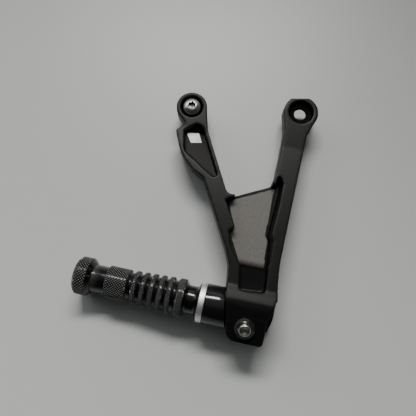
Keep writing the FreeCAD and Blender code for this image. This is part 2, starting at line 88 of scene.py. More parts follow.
# stage, lights and camera
stage = {
    "floorColour": (0.44, 0.455, 0.445, 1), "floorSize": 3.0, "floorRoughness": 0.45,
    "worldColour": (0.80, 0.84, 0.82, 1), "worldDim": 0.02, "worldBright": 0.34,
    "horizon": 0.34, "horizonBand": (0.06, 0.30), "worldFadeStart": 0.58,
    "floorLightNear": (-0.36, 1.80), "floorShadeFar": (0.16, 0.46), "floorCloud": 0.10,
    "floorGrainScale": 900.0, "floorCloudScale": 2.2, "floorBump": 0.08, "floorBumpDistance": 0.0004,
    "worldBrightSide": (-0.10, 0.55, 0.83),
    "lens": 36.0, "sensor": 36.0,
    "cameraPlace": (-0.0425, -0.1475, 0.311),
    "cameraRight": (0.979, 0.203, 0.0), "cameraLook": (-0.0405, 0.195, -0.980),
}
lamps = [
    # name, place, aims at, size across, size up, watts, colour
    ("ceilingStrip", (-0.20, 0.60, 0.85), (-0.04, -0.12, 0.0), 0.66, 0.15, 12.5, (1.0, 0.98, 0.95)),
    ("leftWindow", (-1.1, 0.45, 0.75), (-0.04, -0.08, 0.0), 0.8, 0.5, 3.4, (0.93, 0.98, 1.0)),
    ("farWall", (0.1, 1.2, 0.55), (-0.04, -0.08, 0.0), 1.4, 0.4, 1.0, (1.0, 1.0, 1.0)),
]


def makeStage():
    scene = bpy.context.scene
    half = stage["floorSize"] / 2
    level = cadBox[0].z
    mesh = bpy.data.meshes.new("floor")
    corners = [(-half, -half, level), (half, -half, level), (half, half, level), (-half, half, level)]
    mesh.from_pydata(corners, [], [(0, 1, 2, 3)])
    floor = bpy.data.objects.new("floor", mesh)
    scene.collection.objects.link(floor)
    material = bpy.data.materials.new("paleFloor")
    material.use_nodes = True
    tree = material.node_tree
    shader = tree.nodes["Principled BSDF"]
    place = add(tree, "ShaderNodeTexCoord").outputs["Object"]
    grain = add(tree, "ShaderNodeTexNoise", {
        "Vector": place, "Scale": stage["floorGrainScale"], "Detail": 4.0,
    })
    cloud = add(tree, "ShaderNodeTexNoise", {
        "Vector": place, "Scale": stage["floorCloudScale"], "Detail": 2.0,
    })
    spot = add(tree, "ShaderNodeSeparateXYZ", {0: place}).outputs
    # the floor's tone is painted lighter on the near side and darker beyond: a painted light falloff
    near, far = stage["floorLightNear"], stage["floorShadeFar"]
    paintedFalloff = add(tree, "ShaderNodeMapRange", {
        "Value": spot[1], "From Min": near[0], "From Max": far[0], "To Min": near[1], "To Max": far[1],
    })
    tone = calc(tree, "MULTIPLY_ADD", cloud.outputs["Fac"], stage["floorCloud"], paintedFalloff.outputs["Result"])
    tint = add(tree, "ShaderNodeVectorMath", {
        0: stage["floorColour"][:3], "Scale": tone,
    }, operation="SCALE")
    tree.links.new(tint.outputs[0], shader.inputs["Base Color"])
    shader.inputs["Roughness"].default_value = stage["floorRoughness"]
    bump = add(tree, "ShaderNodeBump", {
        "Height": grain.outputs["Fac"], "Strength": stage["floorBump"],
        "Distance": stage["floorBumpDistance"],
    })
    tree.links.new(bump.outputs[0], shader.inputs["Normal"])
    mesh.materials.append(material)

    world = bpy.data.worlds.new("softRoom")
    scene.world = world
    world.use_nodes = True
    backdrop = world.node_tree.nodes["Background"]
    backdrop.inputs["Color"].default_value = stage["worldColour"]
    # the room is bright overhead and beyond the object, and dim on the near side
    direction = add(world.node_tree, "ShaderNodeTexCoord").outputs["Generated"]
    side = Vector(stage["worldBrightSide"]).normalized()
    facing = add(world.node_tree, "ShaderNodeVectorMath", {
        0: direction, 1: tuple(side),
    }, operation="DOT_PRODUCT")
    fade = add(world.node_tree, "ShaderNodeMapRange", {
        "Value": facing.outputs["Value"], "From Min": stage["worldFadeStart"], "From Max": 1.0,
        "To Min": stage["worldDim"], "To Max": stage["worldBright"],
    }, interpolation_type="SMOOTHSTEP")
    height = add(world.node_tree, "ShaderNodeSeparateXYZ", {0: direction}).outputs[2]
    band = add(world.node_tree, "ShaderNodeMapRange", {
        "Value": height, "From Min": stage["horizonBand"][0], "From Max": stage["horizonBand"][1],
        "To Min": stage["horizon"], "To Max": 0.0,
    }, interpolation_type="SMOOTHSTEP")
    strength = calc(world.node_tree, "MAXIMUM", fade.outputs["Result"], band.outputs["Result"])
    world.node_tree.links.new(strength, backdrop.inputs["Strength"])

    for name, place, target, across, up, watts, colour in lamps:
        light = bpy.data.lights.new(name, "AREA")
        light.shape = "RECTANGLE"
        light.size, light.size_y = across, up
        light.energy, light.color = watts, colour
        lamp = bpy.data.objects.new(name, light)
        lamp.location = place
        lamp.rotation_euler = (Vector(target) - Vector(place)).to_track_quat("-Z", "Y").to_euler()
        scene.collection.objects.link(lamp)

    look = Vector(stage["cameraLook"]).normalized()
    right = Vector(stage["cameraRight"])
    right = (right - right.dot(look) * look).normalized()
    up = right.cross(look)
    data = bpy.data.cameras.new("camera")
    data.lens, data.sensor_width = stage["lens"], stage["sensor"]
    data.clip_start = 0.01
    camera = bpy.data.objects.new("camera", data)
    turn = Matrix((right, up, -look)).transposed().to_4x4()
    camera.matrix_world = Matrix.Translation(stage["cameraPlace"]) @ turn
    scene.collection.objects.link(camera)
    scene.camera = camera


makeStage()
print("stage, lights and camera")


# shared effects
effects = {"speckDepth": 1.6, "wearNoiseScale": 260.0, "toolMarkScale": 6000.0}


def effectGroup(name, inputs, outputs):
    group = bpy.data.node_groups.new(name, "ShaderNodeTree")
    for label, value in inputs.items():
        socket = group.interface.new_socket(label, in_out="INPUT", socket_type="NodeSocketFloat")
        socket.default_value = value
    for label in outputs:
        group.interface.new_socket(label, in_out="OUTPUT", socket_type="NodeSocketFloat")
    return group, group.nodes.new("NodeGroupInput"), group.nodes.new("NodeGroupOutput")


def makeGrain():
    # fine pebbled relief with slow cloudy change of tone, as on a coated or blasted surface
    sizes = {"Scale": 900.0, "Cloud Scale": 30.0}
    group, given, result = effectGroup("pebbleGrain", sizes, ["Height", "Cloud", "Speck"])
    place = add(group, "ShaderNodeTexCoord").outputs["Object"]
    fine = add(group, "ShaderNodeTexNoise", {"Vector": place, "Scale": given.outputs["Scale"], "Detail": 3.0})
    cloud = add(group, "ShaderNodeTexNoise", {
        "Vector": place, "Scale": given.outputs["Cloud Scale"], "Detail": 3.0,
    })
    pits = add(group, "ShaderNodeTexVoronoi", {"Vector": place, "Scale": given.outputs["Scale"]})
    depth = calc(group, "MULTIPLY", pits.outputs["Distance"], effects["speckDepth"])
    speck = calc(group, "SUBTRACT", 1.0, depth)
    group.links.new(fine.outputs["Fac"], result.inputs["Height"])
    group.links.new(cloud.outputs["Fac"], result.inputs["Cloud"])
    group.links.new(speck, result.inputs["Speck"])
    return group


def makeEdgeWear():
    # 1 on outer edges, fading over a little width, broken up by noise
    group, given, result = effectGroup("edgeWear", {"Start": 0.52, "Width": 0.05, "Breakup": 0.5}, ["Edge"])
    point = add(group, "ShaderNodeNewGeometry").outputs["Pointiness"]
    place = add(group, "ShaderNodeTexCoord").outputs["Object"]
    noise = add(group, "ShaderNodeTexNoise", {
        "Vector": place, "Scale": effects["wearNoiseScale"], "Detail": 3.0,
    })
    raised = calc(group, "SUBTRACT", point, given.outputs["Start"])
    edge = group.nodes.new("ShaderNodeMath")
    edge.operation = "DIVIDE"
    edge.use_clamp = True
    group.links.new(raised, edge.inputs[0])
    group.links.new(given.outputs["Width"], edge.inputs[1])
    broken = calc(group, "MULTIPLY", noise.outputs["Fac"], given.outputs["Breakup"])
    kept = calc(group, "SUBTRACT", 1.0, broken)
    group.links.new(calc(group, "MULTIPLY", edge.outputs[0], kept), result.inputs["Edge"])
    return group


def makeTurned():
    # circular tool marks about the local X axis of the vector given
    group = bpy.data.node_groups.new("toolMarks", "ShaderNodeTree")
    group.interface.new_socket("Vector", in_out="INPUT", socket_type="NodeSocketVector")
    scale = group.interface.new_socket("Scale", in_out="INPUT", socket_type="NodeSocketFloat")
    scale.default_value = effects["toolMarkScale"]
    group.interface.new_socket("Height", in_out="OUTPUT", socket_type="NodeSocketFloat")
    given, result = group.nodes.new("NodeGroupInput"), group.nodes.new("NodeGroupOutput")
    parts = add(group, "ShaderNodeSeparateXYZ", {0: given.outputs["Vector"]}).outputs
    squared = calc(group, "MULTIPLY_ADD", parts[1], parts[1], calc(group, "MULTIPLY", parts[2], parts[2]))
    radius = calc(group, "SQRT", squared)
    joined = add(group, "ShaderNodeCombineXYZ", {0: parts[0], 1: radius, 2: 0.0}).outputs[0]
    noise = add(group, "ShaderNodeTexNoise", {
        "Vector": joined, "Scale": given.outputs["Scale"], "Detail": 2.0,
    })
    group.links.new(noise.outputs["Fac"], result.inputs["Height"])
    return group


grainGroup = makeGrain()
wearGroup = makeEdgeWear()
turnedGroup = makeTurned()


def useGroup(tree, group, **values):
    node = tree.nodes.new("ShaderNodeGroup")
    node.node_tree = group
    for label, value in values.items():
        target = node.inputs[label.replace("_", " ")]
        if isinstance(value, bpy.types.NodeSocket):
            tree.links.new(value, target)
        else:
            target.default_value = value
    return node.outputs


def blank(name, **sockets):
    material = bpy.data.materials.new(name)
    material.use_nodes = True
    shader = material.node_tree.nodes["Principled BSDF"]
    for label, value in sockets.items():
        shader.inputs[label.replace("_", " ")].default_value = value
    return material, material.node_tree, shader


def mixColour(tree, factor, first, second):
    node = add(tree, "ShaderNodeMix", data_type="RGBA")
    for index, value in ((0, factor), (6, first), (7, second)):
        if isinstance(value, bpy.types.NodeSocket):
            tree.links.new(value, node.inputs[index])
        else:
            node.inputs[index].default_value = value
    return node.outputs[2]


def bumped(tree, shader, height, strength, distance):
    bump = add(tree, "ShaderNodeBump", {"Height": height, "Strength": strength, "Distance": distance})
    tree.links.new(bump.outputs[0], shader.inputs["Normal"])


# materials
forgedCoat = {
    "coat": (0.0055, 0.0057, 0.0057, 1), "edge": (0.028, 0.029, 0.028, 1),
    "blasted": (0.190, 0.184, 0.168, 1), "pit": (0.140, 0.136, 0.125, 1),
    "roughness": 0.41, "blastedRoughness": 0.62, "cloudRoughness": 0.12, "cloudTone": (0.5, 0.75),
    "grainScale": 1500.0, "cloudScale": 28.0, "pitScale": 1050.0, "pitCloudScale": 90.0,
    "wearStart": 0.515, "wearWidth": 0.06, "wearBreakup": 0.6, "wearShare": 0.35,
    "pitDepth": 2.2, "bump": 0.35, "bumpDistance": 0.00012,
    "recess": (0.002, 0.002, 0.002, 1), "shine": 0.16, "recessShine": 0.02,
}


def makeForgedCoat():
    look = forgedCoat
    material, tree, shader = blank("forgedCoat")
    grain = useGroup(tree, grainGroup, Scale=look["grainScale"], Cloud_Scale=look["cloudScale"])
    coarse = useGroup(tree, grainGroup, Scale=look["pitScale"], Cloud_Scale=look["pitCloudScale"])
    wear = useGroup(
        tree, wearGroup, Start=look["wearStart"], Width=look["wearWidth"], Breakup=look["wearBreakup"],
    )
    blast = add(tree, "ShaderNodeAttribute", attribute_name="blasted").outputs["Fac"]
    toned = add(tree, "ShaderNodeVectorMath", {
        0: look["coat"][:3], "Scale": calc(tree, "MULTIPLY_ADD", grain["Cloud"], *look["cloudTone"]),
    }, operation="SCALE").outputs[0]
    worn = mixColour(tree, calc(tree, "MULTIPLY", wear["Edge"], look["wearShare"]), toned, look["edge"])
    speckled = mixColour(tree, coarse["Speck"], look["pit"], look["blasted"])
    # inside the recesses the colour is painted near black and the shine lowered: painted shade
    recess = add(tree, "ShaderNodeAttribute", attribute_name="recessed").outputs["Fac"]
    colour = mixColour(tree, blast, mixColour(tree, recess, worn, look["recess"]), speckled)
    tree.links.new(colour, shader.inputs["Base Color"])
    shine = calc(tree, "MULTIPLY_ADD", recess, look["recessShine"] - look["shine"], look["shine"])
    tree.links.new(shine, shader.inputs["Specular IOR Level"])
    smoothest = look["roughness"] - look["cloudRoughness"] / 2
    rough = calc(tree, "MULTIPLY_ADD", grain["Cloud"], look["cloudRoughness"], smoothest)
    extra = look["blastedRoughness"] - look["roughness"]
    tree.links.new(calc(tree, "MULTIPLY_ADD", blast, extra, rough), shader.inputs["Roughness"])
    pits = calc(tree, "MULTIPLY", coarse["Speck"], blast)
    deep = calc(tree, "MULTIPLY_ADD", pits, look["pitDepth"], grain["Height"])
    bumped(tree, shader, deep, look["bump"], look["bumpDistance"])
    return material


# worn is the grey of rubbed edges and of the knurl tips, where it is also a painted glint
anodised = {
    "colour": (0.004, 0.004, 0.0045, 1), "worn": (0.34, 0.34, 0.33, 1), "roughness": 0.13,
    "shine": 0.42, "clearCoat": 0.22, "clearCoatRoughness": 0.05, "cloudRoughness": 0.10,
    "grainScale": 2400.0, "cloudScale": 60.0, "wearStart": 0.53, "wearWidth": 0.09, "wearBreakup": 0.7,
    "tipWearAndGlint": 1.0, "tipSharpness": 5.0, "bump": 0.06, "bumpDistance": 0.00004,
}


def makeAnodised(name, wear, roughness):
    look = anodised
    material, tree, shader = blank(
        name, Specular_IOR_Level=look["shine"],
        Coat_Weight=look["clearCoat"], Coat_Roughness=look["clearCoatRoughness"],
    )
    grain = useGroup(tree, grainGroup, Scale=look["grainScale"], Cloud_Scale=look["cloudScale"])
    rub = useGroup(
        tree, wearGroup, Start=look["wearStart"], Width=look["wearWidth"], Breakup=look["wearBreakup"],
    )
    # the knurl's blunt tips are painted grey: partly rubbed wear, partly a painted glint for the facets'
    # reflections
    tip = add(tree, "ShaderNodeAttribute", attribute_name="knurlTip").outputs["Fac"]
    tipsRubbedAndGlinting = calc(tree, "MULTIPLY", calc(tree, "POWER", tip, look["tipSharpness"]), look["tipWearAndGlint"])
    amount = calc(tree, "MAXIMUM", calc(tree, "MULTIPLY", rub["Edge"], wear), tipsRubbedAndGlinting)
    tree.links.new(mixColour(tree, amount, look["colour"], look["worn"]), shader.inputs["Base Color"])
    spread = look["cloudRoughness"]
    rough = calc(tree, "MULTIPLY_ADD", grain["Cloud"], spread, roughness - spread / 2)
    tree.links.new(rough, shader.inputs["Roughness"])
    bumped(tree, shader, grain["Height"], look["bump"], look["bumpDistance"])
    return material


turned = {
    "grainScale": 1800.0, "cloudScale": 140.0, "darkShare": 0.72, "marksTone": 0.7, "cloudTone": 0.4,
    "marksRoughness": 0.16, "bumpDistance": 0.00006,
}


def makeMetal(name, colour, roughness, markScale, place, axis, strength=0.2, socket=None):
    # turned metal: tool marks run round the axis that passes through the place
    material, tree, shader = blank(name, Metallic=1.0)
    spot = add(tree, "ShaderNodeTexCoord").outputs["Object"]
    moved = add(tree, "ShaderNodeVectorMath", {0: spot, 1: tuple(place)}, operation="SUBTRACT").outputs[0]
    side = Vector(axis).orthogonal().normalized()
    other = Vector(axis).cross(side)
    rows = []
    for direction in (Vector(axis), side, other):
        along = add(tree, "ShaderNodeVectorMath", {0: moved, 1: tuple(direction)}, operation="DOT_PRODUCT")
        rows.append(along.outputs["Value"])
    local = add(tree, "ShaderNodeCombineXYZ", {0: rows[0], 1: rows[1], 2: rows[2]}).outputs[0]
    marks = useGroup(tree, turnedGroup, Vector=local, Scale=markScale)["Height"]
    grain = useGroup(tree, grainGroup, Scale=turned["grainScale"], Cloud_Scale=turned["cloudScale"])
    dark = tuple(value * turned["darkShare"] for value in colour) + (1,)
    cloudy = calc(tree, "MULTIPLY", grain["Cloud"], turned["cloudTone"])
    shade = calc(tree, "MULTIPLY_ADD", marks, turned["marksTone"], cloudy)
    tone = mixColour(tree, shade, dark, tuple(colour) + (1,))
    if socket:
        # painted shade darkens the key socket: within its radius and below its rim
        squared = calc(tree, "MULTIPLY_ADD", rows[1], rows[1], calc(tree, "MULTIPLY", rows[2], rows[2]))
        near = calc(tree, "LESS_THAN", squared, socket["radius"] ** 2)
        under = calc(tree, "LESS_THAN", rows[0], socket["rim"])
        tone = mixColour(tree, calc(tree, "MULTIPLY", near, under), tone, socket["colour"])
    tree.links.new(tone, shader.inputs["Base Color"])
    spread = turned["marksRoughness"]
    rough = calc(tree, "MULTIPLY_ADD", marks, spread, roughness - spread / 2)
    tree.links.new(rough, shader.inputs["Roughness"])
    bumped(tree, shader, marks, strength, turned["bumpDistance"])
    return material


plain = {
    "cloudScale": 120.0, "darkShare": 0.78, "cloudRoughness": 0.14, "bump": 0.15, "bumpDistance": 0.00005,
}


def makePlain(name, colour, roughness, metallic=0.0, scale=1600.0):
    material, tree, shader = blank(name, Metallic=metallic)
    grain = useGroup(tree, grainGroup, Scale=scale, Cloud_Scale=plain["cloudScale"])
    dark = tuple(value * plain["darkShare"] for value in colour) + (1,)
    tree.links.new(mixColour(tree, grain["Cloud"], dark, tuple(colour) + (1,)), shader.inputs["Base Color"])
    spread = plain["cloudRoughness"]
    rough = calc(tree, "MULTIPLY_ADD", grain["Cloud"], spread, roughness - spread / 2)
    tree.links.new(rough, shader.inputs["Roughness"])
    bumped(tree, shader, grain["Height"], plain["bump"], plain["bumpDistance"])
    return material


# directions at the hinge, from the peg's own joint
fold = next(joint for joint in frame["joints"] if joint["name"] == "peg_fold")
pivot = Vector(fold["pos_m"])
alongPin = Vector(fold["axis"]).normalized()
alongEars = Vector((alongPin.z, 0, -alongPin.x)).normalized()
upEars = alongPin.cross(alongEars)
pegLine = {"offset": 6.0 * mm, "rise": math.radians(0.7)}
pegRight = -math.cos(pegLine["rise"]) * alongEars + math.sin(pegLine["rise"]) * upEars
pegUp = (-alongPin).cross(pegRight)
pegStart = pivot + pegLine["offset"] * upEars


def axisMatrix(start, along, side):
    turn = Matrix((along, side, along.cross(side))).transposed().to_4x4()
    return Matrix.Translation(start) @ turn


pegPlace = axisMatrix(pegStart, pegRight, pegUp)
pinPlace = axisMatrix(pivot, alongPin, alongEars)

coat = makeForgedCoat()
gripBlack = makeAnodised("gripAnodised", 0.25, 0.17)
glossBlack = makeAnodised("glossAnodised", 0.08, anodised["roughness"])
ringMetal = makeMetal("brightRing", (0.97, 0.98, 0.97), 0.50, 3200.0, pegStart, pegRight)
pinMetal = makeMetal("pinSteel", (0.60, 0.58, 0.54), 0.30, 2600.0, pivot, alongPin)
boltCentre = (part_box("mount_bolt")[0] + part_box("mount_bolt")[1]) / 2
# the bolt's key socket is painted dark inside: painted shade in the recess
boltSocketShade = {
    "radius": 3.45 * mm, "rim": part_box("mount_bolt")[1].z - boltCentre.z - 0.45 * mm,
    "colour": (0.035, 0.034, 0.032, 1),
}
boltMetal = makeMetal("boltSteel", (0.56, 0.55, 0.52), 0.30, 2200.0, boltCentre, (0, 0, 1), socket=boltSocketShade)
innerMetal = makePlain("innerSteel", (0.50, 0.50, 0.49), 0.35, 1.0)
clipMetal = makePlain("clipSteel", (0.58, 0.58, 0.57), 0.28, 1.0)
bronze = makePlain("bearingBronze", (0.52, 0.34, 0.16), 0.45, 1.0)
slidePlastic = makePlain("slidePlastic", (0.70, 0.70, 0.66), 0.5)
sealRubber = makePlain("sealRubber", (0.02, 0.02, 0.02), 0.7)
labelWhite = makePlain("labelWhite", (0.93, 0.93, 0.91), 0.42)
washerDark = makePlain("washerDark", (0.16, 0.16, 0.158), 0.42, 1.0)
print("materials")


# pieces made from the design's own solids
def mergedCopy(node, name, material, body, bevel=0.0, angle=32.0):
    # the design's faces as one closed skin, with small rounded edges
    data = nodes[node].data.copy()
    work = bmesh.new()
    work.from_mesh(data)
    bmesh.ops.remove_doubles(work, verts=work.verts, dist=2e-6)
    bmesh.ops.dissolve_limit(work, angle_limit=math.radians(0.5), verts=work.verts, edges=work.edges)
    work.to_mesh(data)
    work.free()
    data.name = name
    data.materials.clear()
    data.materials.append(material)
    piece = bpy.data.objects.new(name, data)
    bpy.context.scene.collection.objects.link(piece)
    if bevel:
        soften = piece.modifiers.new("roundEdges", "BEVEL")
        soften.width = bevel
        soften.segments = 2
        soften.limit_method = "ANGLE"
        soften.angle_limit = math.radians(angle)
        bakeModifiers(piece)
    smoothByAngle(piece, angle)
    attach(piece, body)
    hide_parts(node)
    return piece


def bakeModifiers(piece):
    ready = piece.evaluated_get(bpy.context.evaluated_depsgraph_get())
    data = bpy.data.meshes.new_from_object(ready)
    data.name = piece.name
    piece.modifiers.clear()
    piece.data = data


def smoothByAngle(piece, angle):
    work = bmesh.new()
    work.from_mesh(piece.data)
    for face in work.faces:
        face.smooth = True
    limit = math.radians(angle)
    for edge in work.edges:
        edge.smooth = len(edge.link_faces) != 2 or edge.calc_face_angle(0.0) < limit
    work.to_mesh(piece.data)
    work.free()


# the forged hanger
forging = {
    "voxel": 0.60 * mm, "smoothSteps": 7, "smoothFactor": 0.5,
    "webOuter": [
        (-40.4, -78.8), (-9.2, -62.8), (-10.1, -99.0), (-8.0, -102.9), (-6.8, -137.0), (-26.0, -137.0),
        (-24.9, -124.0), (-36.1, -101.8), (-33.4, -97.8), (-39.4, -83.0),
    ],
    "webPocket": [
        (-46.0, -80.0), (-12.0, -61.0), (-4.0, -52.0), (-2.5, -143.0), (-25.0, -143.0), (-40.0, -101.0),
    ],
    "pocketShade": 0.6, "pocketShadeHeight": 3.8, "pocketShadeFade": 2.0, "pocketBelow": 0.6,
    "lugBlast": 0.06, "lugShade": 0.6,
    # each wall's line is (x, y, how far the wall leans out)
    "leanRight": [
        (-5.0, -58.8, 1.0), (-6.6, -80.0, 2.0), (-8.2, -99.7, 1.8), (-6.2, -103.9, 1.6), (-5.2, -122.0, 0.8),
    ],
    "leanLeft": [(-36.1, -101.8, 1.0), (-30.4, -113.0, 3.0), (-24.7, -124.0, 1.0)],
    "leanStart": 0.8, "leanRise": 8.0, "shadedSeats": [((0.0, 0.0), 9.5, 12.4), ((-83.2, -12.5), 8.8, 12.4)],
    "webFloor": (-30.0, 5.0, -121.0, 12.0), "webEnd": -119.0, "webFade": 4.5,
    "lugPoint": (-84.9, -32.7, 8.0), "lugNormal": (0.12, 0.25, 1.0),
    "lugOuter": [
        (-86.0, -34.0), (-76.0, -23.0), (-69.0, -27.0), (-51.0, -64.0), (-57.0, -67.0), (-83.0, -50.0),
    ],
    "floorDepth": 0.55,
}


def inside(x, y, outline):
    found = False
    for index, (x1, y1) in enumerate(outline):
        x0, y0 = outline[index - 1]
        if (y0 > y) != (y1 > y) and x < (x1 - x0) * (y - y0) / (y1 - y0) + x0:
            found = not found
    return found


def webFloorHeight(y):
    y0, z0, y1, z1 = forging["webFloor"]
    return z0 + (z1 - z0) * (y - y0) / (y1 - y0)


def makeLean(name, line, outward):
    # a wedge along one wall of the pocket: its slanted side is the leaning wall
    corners, faces = [], []
    for x, y, lean in line:
        low = min(webFloorHeight(y), forging["webFloor"][3]) + forging["leanStart"]
        high = low + forging["leanRise"]
        corners += [(x, y, low), (x + outward * lean, y, high), (x - outward * 1.5, y, high)]
    for index in range(len(line) - 1):
        start = 3 * index
        for side in range(3):
            after = (side + 1) % 3
            faces.append((start + side, start + after, start + 3 + after, start + 3 + side))
    last = 3 * len(line) - 3
    faces += [(0, 1, 2), (last, last + 1, last + 2)]
    mesh = bpy.data.meshes.new(name)
    mesh.from_pydata([tuple(value * mm for value in corner) for corner in corners], [], faces)
    work = bmesh.new()
    work.from_mesh(mesh)
    bmesh.ops.recalc_face_normals(work, faces=work.faces)
    work.to_mesh(mesh)
    work.free()
    wedge = bpy.data.objects.new(name, mesh)
    bpy.context.scene.collection.objects.link(wedge)
    return wedge


def makeForging():
    data = nodes["bracket_forging"].data.copy()
    work = bmesh.new()
    work.from_mesh(data)
    bmesh.ops.remove_doubles(work, verts=work.verts, dist=2e-6)
    work.to_mesh(data)
    work.free()
    piece = bpy.data.objects.new("hangerForging", data)
    bpy.context.scene.collection.objects.link(piece)
    wedges = [makeLean("leanRight", forging["leanRight"], 1), makeLean("leanLeft", forging["leanLeft"], -1)]
    for wedge in wedges:
        cutter = piece.modifiers.new(wedge.name, "BOOLEAN")
        cutter.operation = "DIFFERENCE"
        cutter.solver = "EXACT"
        cutter.object = wedge
    skin = piece.modifiers.new("skin", "REMESH")
    skin.mode = "VOXEL"
    skin.voxel_size = forging["voxel"]
    soften = piece.modifiers.new("soften", "SMOOTH")
    soften.iterations = forging["smoothSteps"]
    soften.factor = forging["smoothFactor"]
    bakeModifiers(piece)
    for wedge in wedges:
        bpy.data.objects.remove(wedge)
    data = piece.data
    for polygon in data.polygons:
        polygon.use_smooth = True

    lugPoint = Vector(forging["lugPoint"])
    lugNormal = Vector(forging["lugNormal"]).normalized()
    mask = data.attributes.new("blasted", "FLOAT", "POINT")
    paintedShadeValues = []
    for index, vertex in enumerate(data.vertices):
        x, y, z = vertex.co / mm
        value = 0.0
        floor = webFloorHeight(y)
        # deep is the share of painted shade: on the pocket floor near its walls, inside the eyelet seats and
        # on the lug floor
        deep = 0.0
        shadeTop = forging["pocketShadeHeight"]
        if inside(x, y, forging["webPocket"]) and -forging["pocketBelow"] < z - floor < shadeTop:
            share = min(max((floor + shadeTop - z) / forging["pocketShadeFade"], 0.0), 1.0)
            deep = forging["pocketShade"] * share
        for (eyeX, eyeY), radius, rim in forging["shadedSeats"]:
            if math.hypot(x - eyeX, y - eyeY) < radius and z < rim:
                deep = 1.0
        if inside(x, y, forging["webOuter"]) and abs(z - floor) < forging["floorDepth"]:
            value = min(max((y - forging["webEnd"]) / forging["webFade"] + 1, 0.0), 1.0)
        elif inside(x, y, forging["lugOuter"]):
            depth = abs((Vector((x, y, z)) - lugPoint).dot(lugNormal))
            if depth < forging["floorDepth"]:
                value, deep = forging["lugBlast"], forging["lugShade"]
        mask.data[index].value = value
        paintedShadeValues.append(deep)
    recessed = data.attributes.new("recessed", "FLOAT", "POINT")
    recessed.data.foreach_set("value", paintedShadeValues)
    data.materials.clear()
    data.materials.append(coat)
    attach(piece, "hanger")
    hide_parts("bracket_forging")
    print("hanger forging:", len(data.polygons), "faces")


makeForging()


